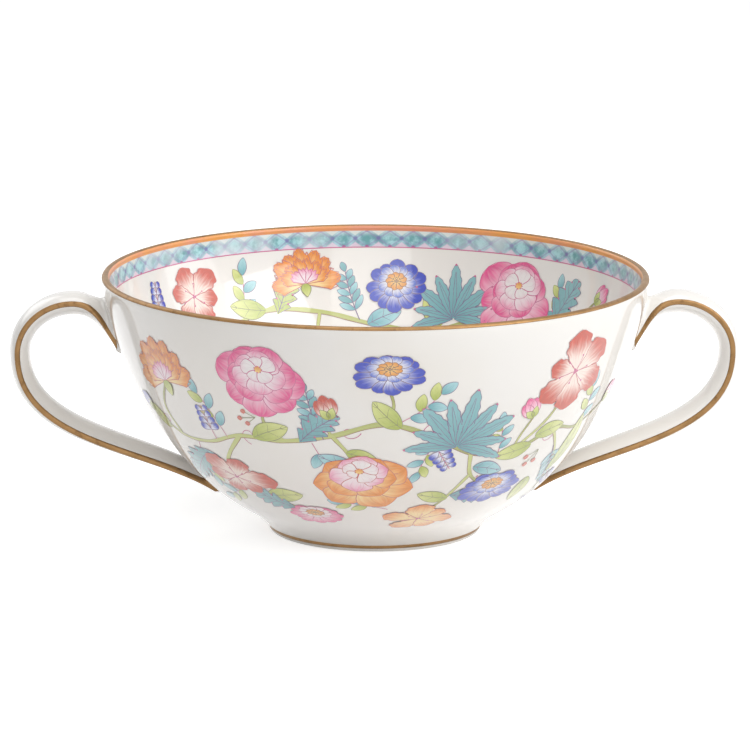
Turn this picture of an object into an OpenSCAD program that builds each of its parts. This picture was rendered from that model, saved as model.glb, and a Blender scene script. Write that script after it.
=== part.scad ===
// Two-handled bouillon cup in bone china, made in one piece: a deep bowl on a low
// foot ring, with two strap handles that rise from the belly, loop over and curl
// back into the wall under the rim.
// Millimetres. The origin is the centre of the ring that the cup stands on, +Z is up,
// and the handles lie along +X and -X.

/* [Bowl] */
// Diameter over the rim
rim_d = 108; // [90:1:126]
// Height from the table to the rim
cup_h = 51.5; // [44:0.5:62]
// Thickness of the rounded lip
lip_t = 1.5; // [1.2:0.1:2.2]
// Thickness of the floor inside the foot ring
floor_t = 2.4; // [1.8:0.1:4]
// Power that sets how soon the wall leaves the vertical below the rim
shoulder_power = 1.43; // [1.3:0.01:1.6]
// Power that sets how full the belly is outside
belly_power = 2.56; // [2.4:0.01:2.7]
// Power that sets how full the belly is inside
hollow_power = 2.62; // [2.56:0.01:2.8]
// How far below the table the curve of the belly would close, if it ran on
belly_sink = 0.5; // [0:0.1:1.5]

/* [Foot ring] */
// Height of the ring, from the table to the belly
foot_h = 4; // [3:0.1:4.6]
// Diameter over the ring's wall, just above the table
foot_d = 42; // [38:0.2:44]
// Width of the ring where it meets the table
foot_w = 2; // [1.6:0.1:3]
// Radius of the rounded edges of the ring
foot_round = 0.6; // [0.3:0.05:0.7]
// Depth of the hollow under the floor
recess_h = 1.7; // [1.4:0.1:2.2]

/* [Handles] */
// How far the handles reach past the rim
handle_reach = 18.2; // [15:0.1:22]
// Drop from the rim to the crown of the loop
crown_drop = 3.6; // [2:0.1:5]
// How far the crown of the loop lies past the rim
crown_out = 5.6; // [4.8:0.1:7]
// Drop from the rim to the widest part of the loop
side_drop = 15.4; // [13:0.1:18]
// Thickness of the strap, from its outer face to its inner face
strap_t = 4.1; // [3.2:0.1:5]
// Width of the strap at the widest part of the loop
strap_w = 8; // [6:0.2:12]
// Width of the strap where it spreads onto the wall under the rim
root_w = 10.6; // [8:0.2:14]
// Width of the strap where it runs out on the belly
tip_w = 9; // [7:0.2:12]
// Drop from the rim to the top of the upper root
root_drop = 5.2; // [4:0.1:6.4]
// Height of the upper root on the wall
root_h = 9.8; // [8:0.1:11]
// Height above the table at which the strap runs out on the belly
tip_z = 6.6; // [6:0.1:8]
// Height of the lower root along the belly
tip_h = 5; // [4:0.1:6.4]
// Share of the strap's thickness that lies outside its edges
edge_share = 0.38; // [0.3:0.01:0.5]

/* [Fineness] */
// Steps along each curve of the bowl
bowl_steps = 30; // [16:1:40]
// Steps along each of the three bends of a handle
bend_steps = 18; // [10:1:22]
// Points round the strap
strap_points = 20; // [12:4:24]

/* [Hidden] */
$fn = 96;
rim_r = rim_d / 2;
lip_r = lip_t / 2;
lip_z = cup_h - lip_r;
floor_z = recess_h + floor_t;
foot_r = foot_d / 2;
// How far into the wall a handle's ends run, so that wall and handle are one
root_sink = 3;
// How far past the mouth the hollow is cut, so that it opens cleanly
mouth_clear = 1;
// Length of a Bezier handle, as a share of its quarter bend, for a round bend
round_share = 0.55;
// How far the bend from the side to the tip falls straight down, as a share of the drop
fall_share = 0.72;
// How long the strap runs along the belly, as a share of its span
run_share = 0.33;
// Pull on the inner face over the belly, as shares of its span and of its drop
belly_pull = [0.27, 0.34];
// Pull on the inner face where it leaves the upper root, as shares of the strap's thickness
root_pull = [0.73, -0.15];
// Share of the thickness that lies outside the edges at the upper root
root_edge_share = 0.9;
// Part of the strap's length over which its edges move away from the inner face
root_part = 0.22;
// Part of the strap's length over which it narrows from the root
narrow_part = 0.4;
// Power that rounds the section's faces towards the edges
soft_power = 1.2;
// How far the ring's wall rises upright, and how far it runs along the belly, as shares of
// the ring's height
ring_rise = 0.4;
ring_run = 0.2;
// Angles at which the rounded lip meets the wall, and the ring's round edges meet its sides
lip_angle = 15;
ring_in_angle = 200;
ring_out_angle = 350;

function unit(v) = v / norm(v);
function mix(a, b, share) = a + (b - a) * share;
function smooth(t) = t * t * (3 - 2 * t);

// Radius of a bowl curve at a height: upright under the lip, closing at its bottom
function curve_r(z, top_r, bottom_z, power) =
    top_r * pow(1 - pow((lip_z - z) / (lip_z - bottom_z), shoulder_power), 1 / power);
function wall_r(z) = curve_r(z, rim_r, -belly_sink, belly_power);
function hollow_r(z) = curve_r(z, rim_r - lip_t, floor_z, hollow_power);
function on_wall(z) = [wall_r(z), z];

// Heights that lie closer together towards the bottom, where the curve is flatter
function heights(low, high, steps) =
    [for (i = [0:steps]) low + (high - low) * pow(i / steps, 1.5)];

// Points of an arc, from one angle to another
function arc(centre, r, from, to, steps) =
    [for (i = [0:steps]) let (a = mix(from, to, i / steps)) centre + r * [cos(a), sin(a)]];

// A point of a cubic Bezier curve
function bezier(p, t) =
    pow(1 - t, 3) * p[0] + 3 * pow(1 - t, 2) * t * p[1] +
    3 * (1 - t) * t * t * p[2] + pow(t, 3) * p[3];

// A line of three Bezier bends, one after the other
function bends(a, b, c) = concat(
    [for (i = [0:bend_steps - 1]) bezier(a, i / bend_steps)],
    [for (i = [0:bend_steps - 1]) bezier(b, i / bend_steps)],
    [for (i = [0:bend_steps]) bezier(c, i / bend_steps)]);

// A quarter bend from the crown of the loop, where it is level, to its upright side
function quarter(top, out) =
    [top, top + [(out[0] - top[0]) * round_share, 0],
        out + [0, (top[1] - out[1]) * round_share], out];

// The crown of the loop and its widest part, on the strap's outer and inner face
crown = [rim_r + crown_out, cup_h - crown_drop];
side = [rim_r + handle_reach, cup_h - side_drop];
crown_in = crown - [0, strap_t];
side_in = side - [strap_t, 0];
// The upper root and the lower root, each by its two ends on the outside of the wall
root_top = on_wall(cup_h - root_drop);
root_foot = on_wall(cup_h - root_drop - root_h);
tip = on_wall(tip_z);
tip_in = on_wall(tip_z + tip_h);
along_belly = unit(tip_in - tip);

// Outer face of the strap along its middle: out of the wall, over and down to the tip
outer_line = bends(
    [root_top - [root_sink, 0], root_top + [crown_out / 2, 0],
        crown - [crown_out / 2, 0], crown],
    quarter(crown, side),
    [side, mix(side, [side[0], tip_z], fall_share),
        tip + along_belly * norm(side - tip) * run_share, tip - [lip_t / 4, 0]]);

// Inner face of the strap along its middle
inner_line = bends(
    [root_foot - [root_sink, 0], root_foot + strap_t * root_pull,
        crown_in - [crown_out, 0], crown_in],
    quarter(crown_in, side_in),
    [side_in, mix(side_in, [side_in[0], tip_in[1]], 0.64),
        [mix(tip_in[0], side_in[0], belly_pull[0]), mix(tip_in[1], side_in[1], belly_pull[1])],
        tip_in - [root_sink, root_sink / 3]]);

// Width of the strap, at a share of its length: spread at the root, slim at the side
function strap_width(s) =
    s < narrow_part ? mix(root_w, strap_w, smooth(s / narrow_part))
        : mix(strap_w, tip_w, smooth((s - narrow_part) / (1 - narrow_part)));

// Where the edges lie between the faces: low on the root, then at a fixed share
function edge_place(s) =
    mix(root_edge_share, edge_share, smooth(min(1, s / root_part)));

// One section of the strap: a lens with soft edges between its two faces
function section(i) =
    let (s = i / (len(outer_line) - 1), out = outer_line[i], inn = inner_line[i],
        edge = mix(out, inn, edge_place(s)), half_w = strap_width(s) / 2)
    [for (k = [0:strap_points - 1])
        let (a = 360 * k / strap_points, face = sin(a) > 0 ? out : inn,
            p = mix(edge, face, pow(abs(sin(a)), soft_power)))
        [p[0], half_w * cos(a), p[1]]];

// Solid of revolution inside the outer curve, with the lip's outside and the foot ring
module bowl_body() {
    joint = on_wall(foot_h);
    ring_in = foot_r - foot_w;
    outer_edge = arc([foot_r - foot_round, foot_round], foot_round, 270, ring_out_angle, 5);
    ring_top = outer_edge[len(outer_edge) - 1];
    along_ring = unit(on_wall(foot_h + foot_round) - joint);
    // The ring's wall sweeps up into the belly in a hollow curve
    ring_wall = [ring_top, ring_top + [0, ring_rise * foot_h],
        joint - ring_run * foot_h * along_ring, joint];
    profile = concat(
        [[0, foot_h], [0, recess_h], [ring_in - recess_h + foot_round, recess_h]],
        arc([ring_in + foot_round, foot_round], foot_round, ring_in_angle, 270, 5),
        outer_edge,
        [for (i = [1:6]) bezier(ring_wall, i / 6)],
        [for (z = heights(foot_h, lip_z, bowl_steps)) if (z > foot_h) on_wall(z)],
        arc([rim_r - lip_r, lip_z], lip_r, lip_angle, 90, 5),
        [[0, cup_h]]);
    rotate_extrude()
        polygon(profile);
}

// The room for the broth, cut from the bowl and from the handles' ends together
module hollow() {
    open_z = cup_h + mouth_clear;
    profile = concat(
        [for (z = heights(floor_z, lip_z, bowl_steps)) [hollow_r(z), z]],
        arc([rim_r - lip_r, lip_z], lip_r, 180 - lip_angle, 90, 5),
        [[rim_r - lip_r, open_z], [0, open_z]]);
    rotate_extrude()
        polygon(profile);
}

// One handle, lofted through its sections from the upper root to the tip
module handle() {
    rings = len(outer_line);
    n = strap_points;
    points = [for (i = [0:rings - 1]) each section(i)];
    sides = [for (i = [0:rings - 2]) for (k = [0:n - 1])
        let (a = i * n + k, b = i * n + (k + 1) % n)
        each [[a, b + n, b], [a, a + n, b + n]]];
    first = [for (k = [0:n - 1]) k];
    last = [for (k = [0:n - 1]) rings * n - 1 - k];
    polyhedron(points, concat(sides, [first, last]), convexity = 6);
}

module cup() {
    color("ivory")
        difference() {
            union() {
                bowl_body();
                handle();
                mirror([1, 0, 0])
                    handle();
            }
            hollow();
        }
}

cup();
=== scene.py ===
"""Bouillon cup in white bone china: a footed bowl with two looped strap handles, gilt edges,
a lattice border inside the lip, and free sprays of enamel flowers outside and inside.

The functions work in millimetres and every mesh is written in metres, in the frame of the
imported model: +Z up, the handles along X, and the front of the cup towards -Y."""

import math

import bpy
import numpy as np
from bpy.props import FloatProperty, FloatVectorProperty, IntProperty, PointerProperty
from mathutils import Matrix, Vector


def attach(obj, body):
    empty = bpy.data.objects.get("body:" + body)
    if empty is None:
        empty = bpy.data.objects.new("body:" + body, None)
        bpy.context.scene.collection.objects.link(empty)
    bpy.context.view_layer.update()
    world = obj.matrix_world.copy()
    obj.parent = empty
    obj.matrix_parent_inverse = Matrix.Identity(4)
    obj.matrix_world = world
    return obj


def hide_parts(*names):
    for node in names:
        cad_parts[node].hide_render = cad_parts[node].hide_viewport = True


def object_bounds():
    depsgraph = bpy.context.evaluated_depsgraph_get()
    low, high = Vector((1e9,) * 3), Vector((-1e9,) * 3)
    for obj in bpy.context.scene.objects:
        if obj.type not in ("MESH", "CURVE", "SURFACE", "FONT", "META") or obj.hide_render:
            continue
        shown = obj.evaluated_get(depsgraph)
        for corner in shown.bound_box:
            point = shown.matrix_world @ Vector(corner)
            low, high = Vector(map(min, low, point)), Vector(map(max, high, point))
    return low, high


bl_info = {
    "name": "Bouillon cup",
    "version": (1, 0, 0),
    "blender": (4, 5, 0),
    "location": "3D View > Sidebar > Cup",
    "description": "Builds a painted two-handled bouillon cup round its packed solid",
    "category": "Add Mesh",
}

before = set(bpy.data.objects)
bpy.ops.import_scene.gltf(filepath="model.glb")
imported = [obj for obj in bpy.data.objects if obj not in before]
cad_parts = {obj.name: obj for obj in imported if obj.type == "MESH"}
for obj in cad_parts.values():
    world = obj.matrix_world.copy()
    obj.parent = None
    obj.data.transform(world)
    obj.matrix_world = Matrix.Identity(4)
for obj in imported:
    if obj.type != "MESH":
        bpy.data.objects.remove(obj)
CAD_LOW, CAD_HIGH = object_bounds()

MM = 0.001
BAKE_MAP = "OFBake"


# Sizes and colours.


def length(name, description, default, **more):
    """A length property in metres."""
    return FloatProperty(name=name, description=description, default=default,
                         unit="LENGTH", precision=5, min=0, **more)


def colour(name, description, default):
    """A colour property, in linear red, green and blue."""
    return FloatVectorProperty(name=name, description=description, default=default,
                               subtype="COLOR", size=3, min=0, max=1)


class CupSizes(bpy.types.PropertyGroup):
    """Sizes of the china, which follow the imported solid"""
    rim: length("Rim radius", "Outer radius of the lip", CAD_HIGH.y)
    height: length("Height", "From the table to the top of the lip", CAD_HIGH.z)
    reach: length("Reach", "From the axis to the outside of a handle", CAD_HIGH.x)
    lip: length("Lip thickness", "Thickness of the rounded lip", 0.0015)
    floor: length("Floor height", "From the table to the floor of the bowl", 0.0041)
    foot: length("Foot radius", "Outer radius of the foot ring just above the table", 0.021)
    foot_width: length("Foot width", "Width of the foot ring at the table", 0.002)
    foot_height: length("Foot height", "From the table to the belly", 0.004)
    film: length("Film", "How far gilding and enamel stand above the glaze", 0.00003)
    segments: IntProperty(name="Segments", description="Steps round the bowl", default=288)


class CupColours(bpy.types.PropertyGroup):
    """Colours of the body, the gilding and the enamels"""
    china: colour("China", "Glazed bone china", (0.86, 0.835, 0.80))
    gold: colour("Gilding", "Dull burnished gold", (0.25, 0.142, 0.056))
    turquoise: colour("Turquoise", "Large leaves and the border", (0.11, 0.36, 0.39))
    green: colour("Green", "Small leaves and stems", (0.42, 0.50, 0.07))
    cobalt: colour("Cobalt", "Blue petals", (0.02, 0.05, 0.52))
    rose: colour("Rose", "Pink petals", (0.84, 0.07, 0.28))
    iron_red: colour("Iron red", "Red petals", (0.60, 0.06, 0.02))
    orange: colour("Orange", "Flower centres and the line under the lip", (0.86, 0.36, 0.07))
    plum: colour("Plum", "Veins", (0.13, 0.06, 0.19))
    magenta: colour("Magenta", "Fine outlines", (0.55, 0.045, 0.21))


# Shader maths.


def maths(operation, swapped=False):
    """A method of Wire that adds a Math node; swapped puts the other value first."""
    def method(wire, *others):
        values = (*others, wire) if swapped else (wire, *others)
        return wire.nodes.node("ShaderNodeMath", {"operation": operation}, dict(enumerate(values)))
    return method


class Wire:
    """An output in a node tree; arithmetic on it adds Math nodes."""

    def __init__(self, nodes, socket):
        self.nodes = nodes
        self.socket = socket

    __add__ = __radd__ = maths("ADD")
    __sub__ = maths("SUBTRACT")
    __rsub__ = maths("SUBTRACT", swapped=True)
    __mul__ = __rmul__ = maths("MULTIPLY")
    __pow__ = maths("POWER")
    __abs__ = maths("ABSOLUTE")
    least = maths("MINIMUM")
    most = maths("MAXIMUM")

    def step(self, low, high):
        """0 below low, 1 above high, and a soft rise between them; low above high turns it round."""
        bounds = {1: low, 2: high} if low < high else {1: high, 2: low, 3: 1.0, 4: 0.0}
        return self.nodes.node("ShaderNodeMapRange", {"interpolation_type": "SMOOTHSTEP"},
                               {0: self, **bounds})

    def beside(self, out):
        """Another output of the same node."""
        return Wire(self.nodes, self.socket.node.outputs[out])


class Nodes:
    """A node tree, and the one method that adds nodes to it."""

    def __init__(self, tree):
        self.tree = tree

    def feed(self, socket, value):
        """Links a wire to a socket, or sets the socket to a number or a colour."""
        if isinstance(value, Wire):
            self.tree.links.new(value.socket, socket)
        elif socket.type == "RGBA" and len(value) == 3:
            socket.default_value = (*value, 1)
        else:
            socket.default_value = value

    def node(self, kind, settings=None, sockets=None, out=0):
        """Adds a node: its settings first, then the values or wires of its sockets."""
        made = self.tree.nodes.new(kind)
        for key, value in (settings or {}).items():
            setattr(made, key, value)
        for key, value in (sockets or {}).items():
            self.feed(made.inputs[key], value)
        return Wire(self, made.outputs[out])

    def mix(self, share, a, b):
        """The colour a where share is 0 and b where it is 1."""
        return self.node("ShaderNodeMix", {"data_type": "RGBA"}, {0: share, 6: a, 7: b}, out=2)


class Finish(Nodes):
    """A material with one glossy shader."""

    def __init__(self, name, **constants):
        self.material = bpy.data.materials.new(name)
        self.material.use_nodes = True
        super().__init__(self.material.node_tree)
        for key, value in constants.items():
            self.set(key.replace("_", " ").title().replace("Ior", "IOR"), value)

    def set(self, name, value):
        """Sets an input of the shader, or links a wire to it."""
        self.feed(self.tree.nodes["Principled BSDF"].inputs[name], value)
        return self

    def coats(self, ground, *coats):
        """Sets the base colour to a ground under coats, each with the share that it covers."""
        for share, tone in coats:
            ground = self.mix(share, ground, tone)
        return self.set("Base Color", ground)

    def place(self):
        """The point on the piece, in metres."""
        return self.node("ShaderNodeTexCoord", out="Object")

    def film(self):
        """The two parameters of a painted patch: across it, and along it."""
        uv = self.node("ShaderNodeUVMap", {"uv_map": BAKE_MAP})
        across = self.node("ShaderNodeSeparateXYZ", {}, {0: uv})
        return uv, across, across.beside(1)

    def noise(self, where, scale, detail=2.0, roughness=0.5, stretch=(1, 1, 1)):
        """Soft noise from 0 to 1 about the point where, with stretch along its axes."""
        if stretch != (1, 1, 1):
            where = self.node("ShaderNodeVectorMath", {"operation": "MULTIPLY"},
                              {0: where, 1: stretch})
        return self.node("ShaderNodeTexNoise", {}, {
            "Vector": where, "Scale": scale, "Detail": detail, "Roughness": roughness})

    def bump(self, height, distance):
        """Raises the surface by height, a wire from 0 to 1, times distance in metres."""
        return self.set("Normal", self.node("ShaderNodeBump", {}, {
            "Height": height, "Distance": distance, "Strength": 1.0}))


def tinted(tone, factors):
    """A colour with each channel times its factor, and 1 at most."""
    return tuple(min(1.0, channel * factor) for channel, factor in zip(tone, factors))


GLAZE = {"roughness": 0.3, "coat_weight": 1.0, "coat_roughness": 0.04, "coat_ior": 1.5}


def china_finish(colours):
    """White body under a clear glaze, with cloudy warmth, a slight ripple and rare iron specks."""
    finish = Finish("glazed_china", **GLAZE)
    place = finish.place()
    cloud = finish.noise(place, 38, 3).step(0.35, 0.75) * 0.8
    cells = finish.node("ShaderNodeTexVoronoi", {}, {"Vector": place, "Scale": 95.0})
    speck = cells.step(0.025, 0.012) * finish.noise(place, 60, 0).step(0.66, 0.70) * 0.55
    finish.coats(colours.china, (cloud, tinted(colours.china, (0.985, 0.965, 0.93))),
                 (speck, (0.22, 0.17, 0.13)))
    return finish.bump(finish.noise(place, 60, 1), 0.00006).material


def gold_finish(colours):
    """Dull burnished gold: brushed along the line, worn browner in patches."""
    finish = Finish("gilding", metallic=0.8)
    place = finish.place()
    wear = finish.noise(place, 260, 4, 0.6)
    finish.coats(tinted(colours.gold, (1.25, 1.25, 1.3)), (wear.step(0.38, 0.72), colours.gold),
                 (finish.noise(place, 900, 2).step(0.55, 0.75) * 0.6,
                  tinted(colours.gold, (0.62, 0.56, 0.55))))
    finish.set("Roughness", 0.30 + wear * 0.22)
    return finish.bump(finish.noise(place, 1500, 2), 0.00001).material


def wash_finish(name, deep, pale, reach, streaks, turn=False):
    """Enamel laid thick at one end of a stroke and thin at the other, in brush streaks.

    The share of deep colour rises along the stroke between the two bounds in reach, which
    noise stretched along the stroke moves to and fro; turn starts the deep colour at the base."""
    finish = Finish(name, **GLAZE)
    uv, _, along = finish.film()
    if turn:
        along = 1 - along
    streak = finish.noise(uv, 1.0, 2, 0.6, (streaks, 1.6, 1))
    share = (along + (streak - 0.5) * 0.55).step(*reach)
    blot = finish.noise(uv, 5.0, 2)
    dark = tinted(deep, (0.66, 0.66, 0.66))
    tone = finish.mix(blot.step(0.35, 0.7) * 0.4, deep, dark)
    hair = finish.noise(uv, 1.0, 1, 0.5, (streaks * 2.2, 1.1, 1)).step(0.58, 0.66)
    hair = hair * along.step(0.08, 0.3) * 0.3
    return finish.coats(pale, (share, tone), (hair, dark)).material


def line_finish(name, tone):
    """A fine painted line, thicker and thinner in colour along its length."""
    finish = Finish(name, **GLAZE)
    uv, _, _ = finish.film()
    fade = finish.noise(uv, 1.0, 2, 0.5, (1, 14, 1)).step(0.3, 0.75) * 0.35
    pale = tuple(0.55 + 0.45 * c for c in tone)
    return finish.coats(tone, (fade, pale)).material


def orange_line_finish(colours):
    """The mottled line under the lip, which drifts from salmon to yellow orange on its way."""
    finish = Finish("border_orange", roughness=0.4, coat_weight=0.5, coat_roughness=0.08)
    drift = finish.noise(finish.place(), 70, 3, 0.6)
    return finish.coats((0.80, 0.30, 0.17), (drift.step(0.35, 0.65), colours.orange),
                        (drift.step(0.6, 0.8) * 0.5, (0.90, 0.62, 0.45))).material


def lattice_finish(colours):
    """One cell of the lattice: crossing diagonals in plum on turquoise, pale in the triangles
    at the top and the bottom, with a knot at the crossing and a dot at each corner. The wash
    is thick in some places of the border and thin in others."""
    finish = Finish("lattice", **GLAZE)
    _, across, along = finish.film()
    nearest = abs(along - across).least(abs(along + across - 1))
    ends = abs(along - 0.5) - abs(across - 0.5)
    tip_tone = finish.mix(along.step(0.3, 0.7), (0.86, 0.66, 0.80), (0.82, 0.88, 0.84))
    blot = finish.noise(finish.place(), 420, 3, 0.6)
    worn = finish.noise(finish.place(), 52, 3, 0.6)
    stout = 1.4
    middle, corner = (across - 0.5) * stout, (0.5 - abs(across - 0.5)) * stout

    def spot(x, y, reach, core):
        return ((x * x + y * y) ** 0.5).step(reach, core)

    return finish.coats(
        (0.42, 0.74, 0.78),
        (blot.step(0.36, 0.62), colours.turquoise),
        (along.step(0.6, 0.95) * 0.55, (0.74, 0.87, 0.86)),
        (ends.step(0.10, 0.28) * 0.85, tip_tone),
        (nearest.step(0.11, 0.02) * 0.5, (0.27, 0.19, 0.47)),
        (abs(nearest - 0.17).step(0.06, 0.01) * 0.22, (0.22, 0.26, 0.55)),
        (spot(middle, along - 0.54, 0.20, 0.06) * 0.75, (0.14, 0.12, 0.40)),
        (spot(corner, along, 0.15, 0.07) * 0.8, (0.42, 0.04, 0.26)),
        (spot(corner, 1 - along, 0.13, 0.05) * 0.4, (0.42, 0.10, 0.36)),
        (worn.step(0.48, 0.66) * 0.62, (0.80, 0.84, 0.88))).material


# Meshes.


def grid_quads(count, rows, columns, wrap=False):
    """Corners of the quads of count grids of rows by columns points, one grid after the other;
    wrap joins the last column to the first."""
    g, i, j = np.meshgrid(np.arange(count), np.arange(rows - 1),
                          np.arange(columns if wrap else columns - 1), indexing="ij")
    start = g * rows * columns
    k = (j + 1) % columns
    corners = [start + i * columns + j, start + i * columns + k,
               start + (i + 1) * columns + k, start + (i + 1) * columns + j]
    return np.stack(corners, -1).reshape(-1, 4)


def caps(first_ring, last_ring, first_pole, last_pole):
    """Triangles that close a tube at its two poles."""
    start = np.stack([np.full(len(first_ring), first_pole), np.roll(first_ring, -1), first_ring], 1)
    end = np.stack([np.full(len(last_ring), last_pole), last_ring, np.roll(last_ring, -1)], 1)
    return np.concatenate([start, end])


def volume(points, triangles):
    """Volume inside a closed shell: a sixth of the triple product, summed over its triangles."""
    a, b, c = (points[triangles[:, i]] for i in range(3))
    return float(np.einsum("ij,ij->i", a, np.cross(b, c)).sum() / 6)


def linked(name, data):
    """A new object of data, linked to the scene."""
    made = bpy.data.objects.new(name, data)
    bpy.context.scene.collection.objects.link(made)
    return made


def write_piece(name, points, faces, material, uv=None, replaced=None):
    """Makes a piece from points in millimetres and a list of face arrays of three or four
    corners each, smooth, riding on the cup's one body."""
    mesh = bpy.data.meshes.new(name)
    sizes = np.concatenate([np.full(len(f), f.shape[1]) for f in faces])
    corners = np.concatenate([f.ravel() for f in faces])
    mesh.vertices.add(len(points))
    mesh.vertices.foreach_set("co", (points * MM).astype(np.float32).ravel())
    mesh.loops.add(len(corners))
    mesh.loops.foreach_set("vertex_index", corners.astype(np.int32))
    mesh.polygons.add(len(sizes))
    mesh.polygons.foreach_set("loop_start", (np.cumsum(sizes) - sizes).astype(np.int32))
    mesh.polygons.foreach_set("use_smooth", np.ones(len(sizes), bool))
    mesh.update(calc_edges=True)
    if uv is not None:
        layer = mesh.uv_layers.new(name=BAKE_MAP)
        layer.data.foreach_set("uv", uv[corners].astype(np.float32).ravel())
    if mesh.validate():
        raise RuntimeError(f"the mesh of {name} had faults")
    piece = linked(name, mesh)
    mesh.materials.append(material)
    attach(piece, "root")
    if replaced:
        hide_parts(replaced)


def shell_faces(points, quads, ends):
    """Quads and end triangles of a closed shell, turned so that they face outwards."""
    halves = np.concatenate([quads[:, [0, 1, 2]], quads[:, [0, 2, 3]], ends])
    if volume(points, halves) < 0:
        return quads[:, ::-1], ends[:, ::-1]
    return quads, ends


# The form.


def bezier(poles, steps, end=1.0):
    """Cubic Bezier bend: its four poles weighted by the Bernstein polynomials, up to t = end."""
    t = np.linspace(0, end, steps)[:, None]
    p = np.asarray(poles, float)
    return ((1 - t) ** 3 * p[0] + 3 * (1 - t) ** 2 * t * p[1]
            + 3 * (1 - t) * t ** 2 * p[2] + t ** 3 * p[3])


def arc(centre, radius, start, end, steps):
    """Points of an arc about centre, from one angle to another in degrees."""
    a = np.radians(np.linspace(start, end, steps))
    return np.asarray(centre, float) + radius * np.stack([np.cos(a), np.sin(a)], 1)


def smooth(t):
    """Rises from 0 to 1 with level ends."""
    t = np.clip(t, 0, 1)
    return t * t * (3 - 2 * t)


def unit(vectors):
    """Vectors along the last axis, each of length 1."""
    return vectors / np.maximum(np.linalg.norm(vectors, axis=-1, keepdims=True), 1e-9)


def beside_line(line):
    """Unit normals to the right of a line of (radius, height)."""
    step = unit(np.gradient(line, axis=0))
    return np.stack([step[:, 1], -step[:, 0]], 1)


def swell(count, start):
    """How full a film is at count points across it: (sin a)^0.3, thin at either edge."""
    return np.sin(np.linspace(start, np.pi - start, count)) ** 0.3


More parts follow.
